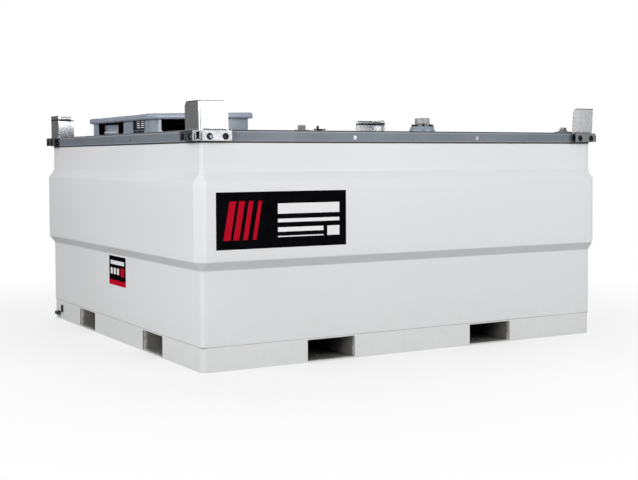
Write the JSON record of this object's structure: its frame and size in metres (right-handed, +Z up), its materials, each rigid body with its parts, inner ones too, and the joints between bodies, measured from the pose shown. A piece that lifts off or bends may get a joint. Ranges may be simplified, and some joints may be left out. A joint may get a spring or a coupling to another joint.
{
  "type": "transportable bunded fuel storage tank",
  "caption": "Low rectangular double-wall steel fuel tank with belly band, fork pockets, bolted grey roof, hinged equipment cabinet and corner brackets.",
  "frame": {"origin": "centre of the underside", "axes": "+Z up, the front is -Y, the cabinet is towards -X"},
  "size_m": [2.302, 2.186, 1.176],
  "materials": {
    "white_paint": "semi-gloss white paint",
    "grey_paint": "satin grey paint",
    "galvanised_steel": "hot-dip galvanised",
    "black_rubber": "matte"
  },
  "bodies": {
    "tank": {"back_rim": "grey_paint", "back_wall": "white_paint", "bracket_back_left": "galvanised_steel", "bracket_back_right": "galvanised_steel", "bracket_front_left": "galvanised_steel", "bracket_front_right": "galvanised_steel", "cabinet_floor": "grey_paint", "cabinet_hinge_1": "galvanised_steel", "cabinet_hinge_2": "galvanised_steel", "cabinet_port_cover": "grey_paint", "cabinet_vent_plate": "black_rubber", "cabinet_wall_back": "grey_paint", "cabinet_wall_front": "grey_paint", "cabinet_wall_hinge_side": "grey_paint", "cabinet_wall_left": "grey_paint", "chain_link": "black_rubber", "corner_plug": "galvanised_steel", "corner_plug_boss": "grey_paint", "dip_point_boss": "grey_paint", "dip_point_plug": "galvanised_steel", "earth_lug": "black_rubber", "front_rim": "grey_paint", "front_wall": "white_paint", "left_rim": "grey_paint", "left_wall": "white_paint", "lever_valve": "black_rubber", "right_rim": "grey_paint", "right_wall": "white_paint", "roof_deck_back": "grey_paint", "roof_deck_front": "grey_paint", "roof_deck_left": "grey_paint", "roof_deck_main": "grey_paint", "roof_gasket": "black_rubber", "roof_vent_boss": "grey_paint", "roof_vent_cap": "galvanised_steel", "skid_block_back_left": "white_paint", "skid_block_back_middle": "white_paint", "skid_block_back_right": "white_paint", "skid_block_front_left": "white_paint", "skid_block_front_middle": "white_paint", "skid_block_front_right": "white_paint", "skid_block_middle_left": "white_paint", "skid_block_middle_middle": "white_paint", "skid_block_middle_right": "white_paint", "skid_bottom_plate": "white_paint", "tank_floor": "white_paint"},
    "lid": {"cabinet_lid": "grey_paint"}
  },
  "joints": [
    {"name": "lid_hinge", "type": "hinge", "parent": "tank", "child": "lid", "pos_m": [-0.598, 0, 1.1345], "axis": [0, 1, 0], "range_deg": [0, 95]}
  ]
}
